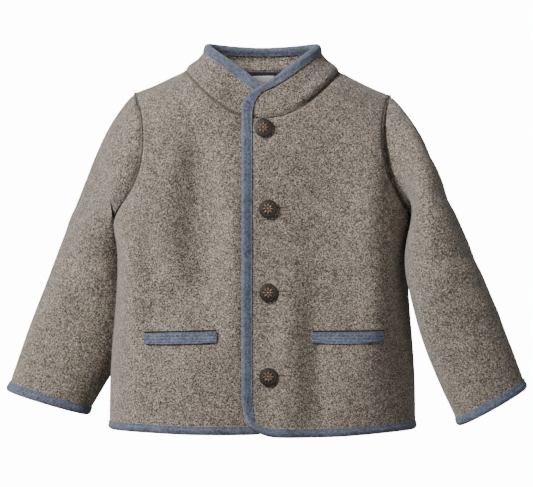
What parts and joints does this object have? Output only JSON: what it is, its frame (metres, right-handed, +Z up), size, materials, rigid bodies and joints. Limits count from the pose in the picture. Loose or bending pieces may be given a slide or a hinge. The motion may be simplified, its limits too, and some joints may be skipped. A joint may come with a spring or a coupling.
{
  "type": "wool jacket",
  "caption": "Child's boiled-wool jacket with a stand collar, edges bound in knitted tape, welt pockets and metal buttons, filled out as if worn.",
  "frame": {"origin": "middle of the neck opening at the height of the shoulders, where the wearer holds it up", "axes": "+X to the wearer's left, from sleeve to sleeve; +Y to the wearer's back; +Z up"},
  "size_m": [0.5737, 0.1833, 0.4296],
  "materials": {
    "boiled_wool": "felted, greyish brown melange",
    "binding_tape": "fine knitted rib, grey blue",
    "antique_metal": "dark antique",
    "label_cloth": "woven, off-white and blank"
  },
  "bodies": {
    "root": {"front_right": "boiled_wool", "front_left": "boiled_wool", "back": "boiled_wool", "sleeve_right": "boiled_wool", "sleeve_left": "boiled_wool", "collar_right": "boiled_wool", "collar_left": "boiled_wool", "binding_collar_right": "binding_tape", "binding_collar_left": "binding_tape", "binding_front_right": "binding_tape", "binding_front_left": "binding_tape", "binding_back_hem": "binding_tape", "binding_cuff_right": "binding_tape", "binding_cuff_left": "binding_tape", "pocket_welt_right": "binding_tape", "pocket_welt_left": "binding_tape", "button_1": "antique_metal", "button_2": "antique_metal", "button_3": "antique_metal", "button_4": "antique_metal", "neck_tape": "binding_tape", "label": "label_cloth"}
  },
  "joints": []
}
